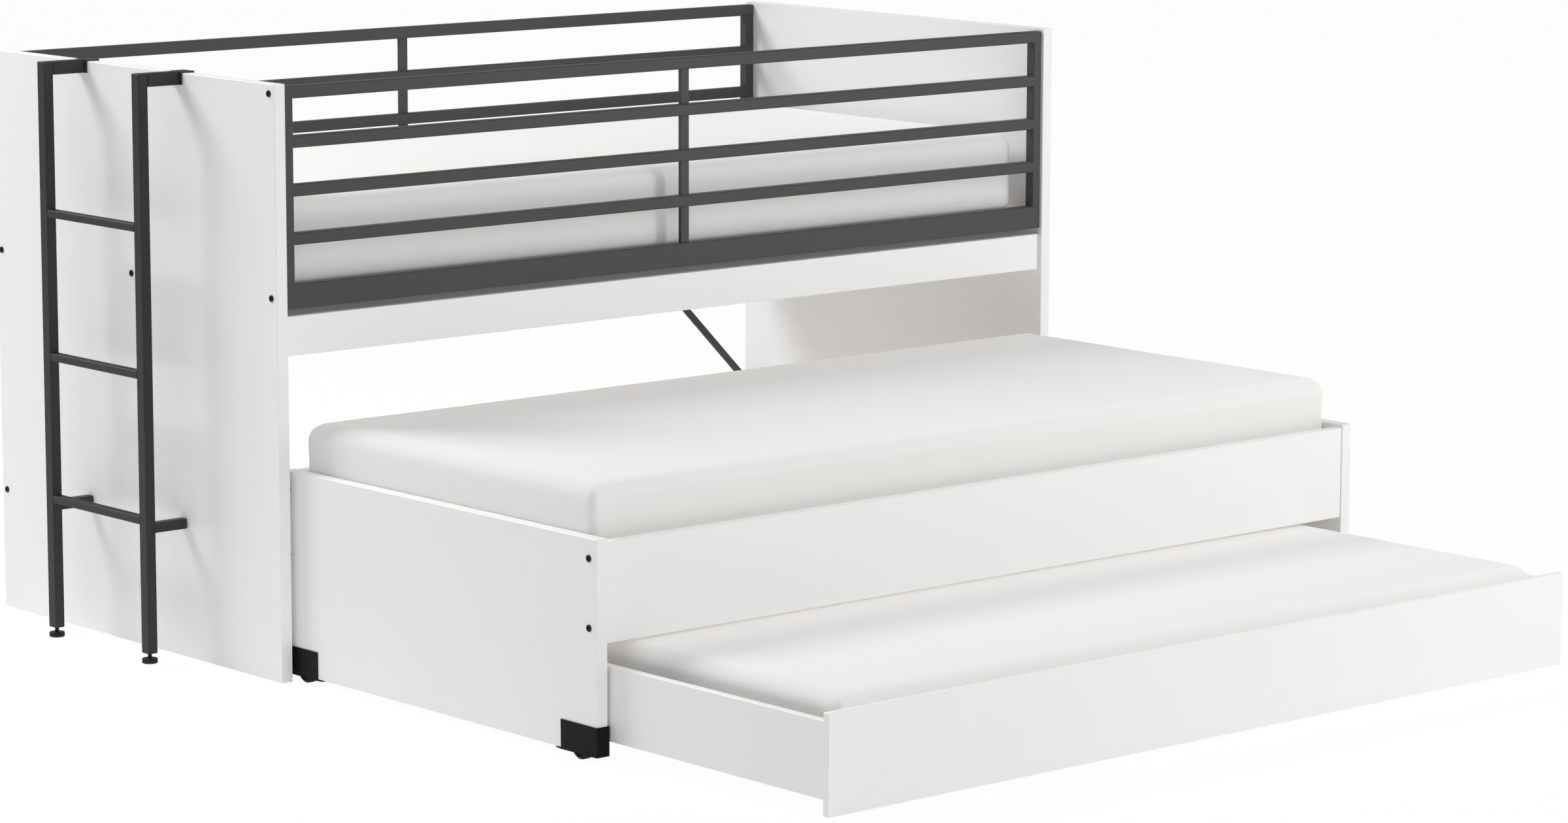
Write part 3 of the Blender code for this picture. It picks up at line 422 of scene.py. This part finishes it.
def slats_finish(node):
    low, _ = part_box(node)
    wood = pine("pine_" + node, "Y")
    place = wood.coordinates()
    tape = wood.height(place) < low.z + TAPE_DEPTH
    twill = wood.node("ShaderNodeTexWave", {"Vector": place, "Scale": 420.0, "Distortion": 0.4},
                      bands_direction="DIAGONAL")
    grained = Tone(wood, wood.socket("Base_Color").links[0].from_socket)
    woven = wood.blend(twill * 0.5, (0.62, 0.60, 0.55), (0.46, 0.44, 0.40))
    wood.drive(Base_Color=wood.blend(tape, grained, woven))
    return wood.material


SLATS = {node: slats_finish(node) for node in ("upper_slats", "pullout_slats", "trundle_slats")}
print("made", len(SLATS), "slat finishes")

# %% [markdown]
# ## Mattress cover
# The mattresses wear a plain knitted cover in a warm off-white. A knit shows
# as rows of tiny loops, about 1.5 mm apart, and as very soft tone changes
# where it lies over the foam. A cell pattern with little randomness makes the
# loops. Sheen gives the faint bloom of brushed yarn.

# %% Knit finish
def knit():
    cover = Finish("mattress_knit", Sheen_Weight=0.12, Sheen_Roughness=0.5,
                   Specular_IOR_Level=0.25)
    place = cover.coordinates()
    rows = cover.coordinates((1.0, 1.5, 1.0))
    loops = cover.node("ShaderNodeTexVoronoi",
                       {"Vector": rows, "Scale": 620.0, "Randomness": 0.25}, output="Distance")
    drift = cover.noise(place, 2.2, 3)
    fuzz = cover.noise(place, 900.0, 2)
    colour = cover.blend(drift, (0.868, 0.860, 0.838), (0.892, 0.886, 0.868))
    colour = cover.blend(loops * 0.08, colour, (0.66, 0.645, 0.61))
    cover.drive(Base_Color=colour, Roughness=0.88 + fuzz * 0.08,
                Normal=cover.bump(loops * 0.8 + fuzz * 0.2, 0.0003, 0.35))
    return cover.material


KNIT = knit()
print("made", KNIT.name)

# %% [markdown]
# ## Bolt steel
# The bolts are blackened and oiled, so they are darker than bare steel and
# still metallic. Oil never lies evenly, and one noise moves both the shade
# and the gloss.

# %% Bolt finish
def black_bolt():
    steel = Finish("black_bolt", Metallic=0.9)
    wander = steel.noise(steel.coordinates(), 300.0, 3)
    steel.drive(Base_Color=steel.blend(wander, (0.016, 0.016, 0.017), (0.034, 0.033, 0.033)),
                Roughness=0.30 + wander * 0.16)
    return steel.material


BOLT_STEEL = black_bolt()
print("made", BOLT_STEEL.name)

# %% [markdown]
# ## Dress the solids
# The solids that already have the right shape only get a better finish, by
# the material slot that their record names. The slats, the wheels' brackets
# and forks, and the ladder have their own, and are told apart by name. The
# ladder's own is the darker coat of painted shade.

# %% Finishes on the solids
slot_of = {part["node"]: part["material_slot"] for part in frame["record"]["subparts"]}
by_slot = {"white_board": WHITE_BOARD, "black_steel": POWDER_COAT,
           "black_plastic": BLACK_PLASTIC, "pine": PINE_ALONG_X, "mattress": KNIT}
# The ladder gets the darker coat, which is painted shade.
by_start = {("corner_bracket", "castor_fork"): SHOE_COAT,
            ("ladder", "rung", "hook_arm", "lower_arm"): LADDER_COAT_PAINTED_SHADE}
for node, solid in frame["nodes"].items():
    finish = SLATS.get(node, by_slot[slot_of[node]])
    for starts, coat in by_start.items():
        if node.startswith(starts):
            finish = coat
    for material_slot in solid.material_slots:
        material_slot.material = finish
print("dressed", len(slot_of), "solids")

# %% [markdown]
# ## From a bmesh to a piece
# Each new shape is worked out as a bmesh, which is a mesh that operators can
# edit. One helper turns it into an object at the origin, unturned and
# unscaled as the solids are, because the finishes read its own coordinates.
# Another picks out the edges along an axis, to cut them or to round them.

# %% New pieces
def new_piece(name, bm, material):
    mesh = bpy.data.meshes.new(name)
    bm.to_mesh(mesh)
    bm.free()
    mesh.materials.append(material)
    piece = bpy.data.objects.new(name, mesh)
    bpy.context.collection.objects.link(piece)
    mesh.shade_smooth()
    return piece


def edges_along(bm, axis, longer_than):
    """The edges that run along an axis for more than some length."""
    return [e for e in bm.edges if abs(e.verts[0].co[axis] - e.verts[1].co[axis]) > longer_than]


cube = bmesh.new()
bmesh.ops.create_cube(cube, size=2)
print("a cube has", len(edges_along(cube, 0, longer_than=1.9)), "edges along X")
cube.free()

# %% [markdown]
# ## A rounded block
# A foam mattress keeps its block shape: flat underneath and rounded along
# every edge. The block is a cube cut into a net that is close at the edges
# and wide in the middle. Every point is then slid onto the rounded form: the
# rings of the caps and the upper and lower rows of the sides share an arc
# between them, and each ring's corners are drawn in to their own radius.

# %% Rounded block
CORNER, TOP_ROUND, BASE_ROUND = 0.018, 0.036, 0.011  # the three radii
NET = (116, 58, 14)  # cuts along X, Y and Z
CROWDING = 0.72  # how much closer the net is at the edges
ON_CAP = 1e-6  # a point this near the height of a cap lies on it
NEVER_ZERO = 1e-9  # the least that is divided by, at the block's middle


def clamp(value, limit):
    return max(-limit, min(limit, value))


def slide_onto_round(point, half):
    """The place on a rounded block of a point on the plain block."""
    inset = max(0.0, min(half.x - abs(point.x), half.y - abs(point.y)))
    radius = TOP_ROUND if point.z > 0 else BASE_ROUND
    below = half.z - abs(point.z)
    if below > ON_CAP:
        turn = math.radians(45) * max(0.0, 1 - below / radius)
    else:
        turn = math.radians(45) * (1 + min(1.0, inset / radius))
    inward = radius * (1 - math.cos(turn)) if inset < radius else inset
    height = half.z - (radius * (1 - math.sin(turn)) if turn else max(below, 0.0))
    bend = max(CORNER - inward / 2, CORNER / 4)
    place, core = [0, 0], [0, 0]
    for axis in (0, 1):
        drawn_in = (half[axis] - inward) / max(half[axis] - inset, NEVER_ZERO)
        place[axis] = point[axis] * drawn_in
        core[axis] = clamp(place[axis], half[axis] - inward - bend)
    away = Vector((place[0] - core[0], place[1] - core[1]))
    if away.x and away.y:
        away *= bend / away.length
    return Vector((core[0] + away.x, core[1] + away.y, math.copysign(height, point.z)))


def foam_block(size):
    bm = bmesh.new()
    bmesh.ops.create_cube(bm, size=2)
    for axis, cuts in enumerate(NET):
        uncut = edges_along(bm, axis, longer_than=1.9)
        bmesh.ops.subdivide_edges(bm, edges=uncut, cuts=cuts, use_grid_fill=True)
    half = size / 2
    for vertex in bm.verts:
        spread = [t + CROWDING * math.sin(math.pi * t) / math.pi for t in vertex.co]
        point = Vector([clamp(s, 1) * h for s, h in zip(spread, half)])
        vertex.co = slide_onto_round(point, half)
    return bm


print("a rounded block has", len(foam_block(Vector((1.9, 0.9, 0.16))).verts), "points")

# %% [markdown]
# ## Cover over foam
# The block is blown up gently as cloth with its base pinned. An empty cover
# rises like a balloon, and the foam inside holds it back, so only how far
# each point moved is kept, and evened out between neighbours.

# %% Swelling
SWELL_FRAMES, EVENING_ROUNDS = 20, 3
PINNED_DEPTH = 0.004


def evened(moved, edges):
    """Each point's move as the mean of its own and its neighbours'."""
    total, count = [m.copy() for m in moved], [1] * len(moved)
    for edge in edges:
        a, b = edge.vertices
        total[a] += moved[b]
        total[b] += moved[a]
        count[a] += 1
        count[b] += 1
    return [t / c for t, c in zip(total, count)]


def swell(piece):
    """How far each point of the piece moves when it is blown up as cloth."""
    start = [vertex.co.copy() for vertex in piece.data.vertices]
    pinned_below = min(point.z for point in start) + PINNED_DEPTH
    base = piece.vertex_groups.new(name="base")
    base.add([i for i, point in enumerate(start) if point.z < pinned_below], 1.0, "REPLACE")
    cloth = piece.modifiers.new("cover", "CLOTH")
    settings = cloth.settings
    settings.quality, settings.mass = 6, 0.3
    settings.tension_stiffness = settings.compression_stiffness = 18
    settings.shear_stiffness, settings.bending_stiffness = 18, 8
    settings.use_pressure, settings.uniform_pressure_force = True, 0.4
    settings.vertex_group_mass = base.name
    settings.effector_weights.gravity = 0
    cloth.collision_settings.use_collision = False
    scene = bpy.context.scene
    cloth.point_cache.frame_start = scene.frame_start = 1
    cloth.point_cache.frame_end = scene.frame_end = SWELL_FRAMES
    for step in range(1, SWELL_FRAMES + 1):
        scene.frame_set(step)
    blown = piece.evaluated_get(bpy.context.evaluated_depsgraph_get()).to_mesh()
    moved = [vertex.co - point for vertex, point in zip(blown.vertices, start)]
    piece.modifiers.clear()
    scene.frame_set(1)
    for _ in range(EVENING_ROUNDS):
        moved = evened(moved, piece.data.edges)
    return moved


print("a cover swells for", SWELL_FRAMES, "frames")

# %% [markdown]
# ## A mattress
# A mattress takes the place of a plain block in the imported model, and its size
# from that block's box. Its moves are scaled down until the middle of the top
# stands as high as the crown that the picture shows. The sides draw in a
# little besides, and no point leaves the box, so that the mattress fills its
# bed and no more.

# %% Mattress
DRAW_IN = 0.0022  # how far a side draws in at half height
NEAR_EDGE = 11  # the power that keeps the draw-in to the outermost points


def make_mattress(name, node, body, crown):
    low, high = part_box(node)
    size = high - low
    size.z -= crown
    middle, half = (low + high) / 2, (high - low) / 2
    piece = new_piece(name, foam_block(size), KNIT)
    piece.data.transform(Matrix.Translation((middle.x, middle.y, low.z + size.z / 2)))
    moved = swell(piece)
    most = max(m.z for m in moved)
    held = crown / most if most else 0
    for vertex, move in zip(piece.data.vertices, moved):
        share_up = (vertex.co.z - low.z) / size.z
        draw_in = DRAW_IN * math.sin(math.pi * min(1.0, share_up)) ** 2
        across = [(vertex.co[axis] - middle[axis]) / half[axis] for axis in (0, 1)]
        vertex.co += move * held
        for axis in (0, 1):
            vertex.co[axis] -= draw_in * across[axis] ** NEAR_EDGE
        vertex.co = [min(max(c, least), limit) for c, least, limit in zip(vertex.co, low, high)]
    rounder = piece.modifiers.new("smooth", "SUBSURF")
    rounder.levels = rounder.render_levels = 1
    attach(piece, body)
    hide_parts(node)
    print(name, len(piece.data.vertices), "points, swelled", round(most * 1000),
          "mm, held to", crown * 1000)


print("the sides of a mattress draw in by", DRAW_IN * 1000, "mm")

# %% [markdown]
# ## One mattress in each bed
# The two larger beds hold the same mattress. The trundle's is thinner, so
# that it still passes under the bed above it.

# %% The three mattresses
make_mattress("mattress_upper", "upper_mattress", "bunk", crown=0.005)
make_mattress("mattress_pullout", "pullout_mattress", "pullout_bed", crown=0.005)
make_mattress("mattress_trundle", "trundle_mattress", "trundle", crown=0.003)

# %% [markdown]
# ## Slat rails
# The narrow slot over the front board shows a dark grey flange on the board's
# top edge, so the rails that carry the slats are steel. A steel rail is
# folded from sheet: a flange over the board, a web and a seat for the slats'
# ends. Its section is drawn as one closed outline and pulled along the bed,
# and then the folds are rounded. The rails' coat is a lighter grey than the
# other steel, as painted light for the light that comes into the slot.

# %% Folded rails
SHEET, SHELF, FOLD = 0.0025, 0.040, 0.0016  # thickness, inner flange, fold's radius
OVER_BOARD = 0.0003
CREASE = math.radians(35)


def folded_rail(name, node, board):
    """A folded steel rail, whose flange lies on the top edge of a board."""
    low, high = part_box(node)
    board_low, board_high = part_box(board)
    at_back = low.y + high.y > 0
    outer, inwards = (high.y, -1) if at_back else (low.y, 1)
    width, seat = high.y - low.y, high.z
    over, shelf_top = board_high.y - board_low.y, board_high.z + SHEET + OVER_BOARD
    length = board_high.x - board_low.x
    section = [(-over, shelf_top), (SHELF, shelf_top), (SHELF, seat), (width, seat),
               (width, seat - SHEET), (SHELF + SHEET, seat - SHEET),
               (SHELF + SHEET, shelf_top - SHEET), (-over, shelf_top - SHEET)]
    bm = bmesh.new()
    outline = [bm.verts.new((board_low.x, outer + inwards * across, z)) for across, z in section]
    pulled = bmesh.ops.extrude_face_region(bm, geom=[bm.faces.new(outline)])["geom"]
    far_end = [g for g in pulled if isinstance(g, bmesh.types.BMVert)]
    bmesh.ops.translate(bm, vec=(length, 0, 0), verts=far_end)
    folds = [e for e in edges_along(bm, 0, longer_than=0.5)
             if abs(abs(e.verts[0].co.y - outer) - SHELF) < SHEET * 1.1]
    bmesh.ops.bevel(bm, geom=folds, offset=FOLD, segments=3, profile=0.5, affect="EDGES",
                    material=-1)
    bmesh.ops.recalc_face_normals(bm, faces=bm.faces)
    # The lighter grey coat is painted light in the slot.
    piece = new_piece(name, bm, RAIL_COAT_PAINTED_LIGHT)
    piece.data.set_sharp_from_angle(angle=CREASE)
    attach(piece, "bunk")
    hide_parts(node)
    print(name, round(length * 1000), "mm long")


for side in ("front", "back"):
    folded_rail("slat_rail_steel_" + side, "slat_rail_" + side, "apron_" + side)

# %% [markdown]
# ## A bolt head
# Flat-headed bolts with a hexagon socket come through the end panels into the
# guards, the beam, the braces and the rails. One head is a short cylinder whose
# rim is rounded and whose cap is inset and pushed in. The socket's ring is
# drawn to a hexagon by scaling each of its points, because an inset keeps the
# rim's own round form.

# %% One bolt head
HEAD_RADIUS, HEAD_HEIGHT = 0.0065, 0.0022
HEAD_ROUND = HEAD_HEIGHT * 0.35
SOCKET_RING, SOCKET_FLAT = HEAD_RADIUS * 0.38, HEAD_RADIUS * 0.40
SOCKET_DEPTH = HEAD_HEIGHT * 0.75


def top_face(bm):
    return max(bm.faces, key=lambda face: face.calc_center_median().z)


def bolt_head(place, outward):
    """A bolt head on a face whose outward direction is -1 or 1 along X."""
    bm = bmesh.new()
    bmesh.ops.create_cone(bm, cap_ends=True, segments=24, radius1=HEAD_RADIUS,
                          radius2=HEAD_RADIUS, depth=HEAD_HEIGHT)
    bmesh.ops.bevel(bm, geom=list(top_face(bm).edges), offset=HEAD_ROUND, segments=2,
                    profile=0.5, affect="EDGES", material=-1)
    cap = top_face(bm)
    bmesh.ops.inset_region(bm, faces=[cap], thickness=SOCKET_RING)
    for vertex in cap.verts:
        angle = math.atan2(vertex.co.y, vertex.co.x) % (math.pi / 3) - math.pi / 6
        vertex.co.xy = vertex.co.xy.normalized() * (SOCKET_FLAT / math.cos(angle))
    pushed = bmesh.ops.extrude_discrete_faces(bm, faces=[cap])["faces"]
    bmesh.ops.translate(bm, vec=(0, 0, -SOCKET_DEPTH), verts=pushed[0].verts)
    turn = Matrix.Rotation(math.pi / 2 * outward, 4, "Y")
    stand_out = Matrix.Translation((outward * HEAD_HEIGHT / 2, 0, 0))
    bmesh.ops.transform(bm, matrix=stand_out @ turn, verts=bm.verts)
    bmesh.ops.remove_doubles(bm, verts=bm.verts, dist=1e-6)
    bmesh.ops.recalc_face_normals(bm, faces=bm.faces)
    bmesh.ops.translate(bm, vec=place, verts=bm.verts)
    return bm


print("a bolt head is", HEAD_RADIUS * 2000, "mm across")

# %% [markdown]
# ## Sets of bolts
# The bolts of one bed make one piece, which rides with that bed. Each place
# was read off the picture: how far in from a panel's edge, and how high above
# the floor. The right-hand panel has the same bolts as the left.

# %% Sets of bolts
def bolt_set(name, body, panels, holes):
    """One piece with a bolt at each hole of a left and a right panel."""
    heads = []
    for node, outward in zip(panels, (-1, 1)):
        low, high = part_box(node)
        face = low.x if outward < 0 else high.x
        heads += [bolt_head((face, y, z), outward) for y, z in holes(low, high)]
    everything = bmesh.new()
    for head in heads:
        mesh = bpy.data.meshes.new("bolt")
        head.to_mesh(mesh)
        head.free()
        everything.from_mesh(mesh)
        bpy.data.meshes.remove(mesh)
    piece = new_piece(name, everything, BOLT_STEEL)
    piece.data.set_sharp_from_angle(angle=CREASE)
    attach(piece, body)
    print(name, len(heads), "bolts")


def bunk_holes(low, high):
    """The back guard and brace, the beam, and then the front guard."""
    at_back, at_front, at_beam = high.y - 0.0165, low.y + 0.0171, 0.001
    return ((at_back, 1.1322), (at_back, 0.7427), (at_back, 0.2466), (at_beam, 0.7426),
            (at_front, 1.1317), (at_front, 0.7425))


def pullout_holes(low, high):
    """Two bolts in each rail, one over the other."""
    at_front, at_back, upper, lower = low.y + 0.0211, high.y - 0.0115, 0.3715, 0.2452
    return [(y, z) for y in (at_front, at_back) for z in (upper, lower)]


bolt_set("bunk_bolts", "bunk", ("end_panel_left", "end_panel_right"), bunk_holes)
bolt_set("pullout_bolts", "pullout_bed", ("pullout_panel_left", "pullout_panel_right"),
         pullout_holes)
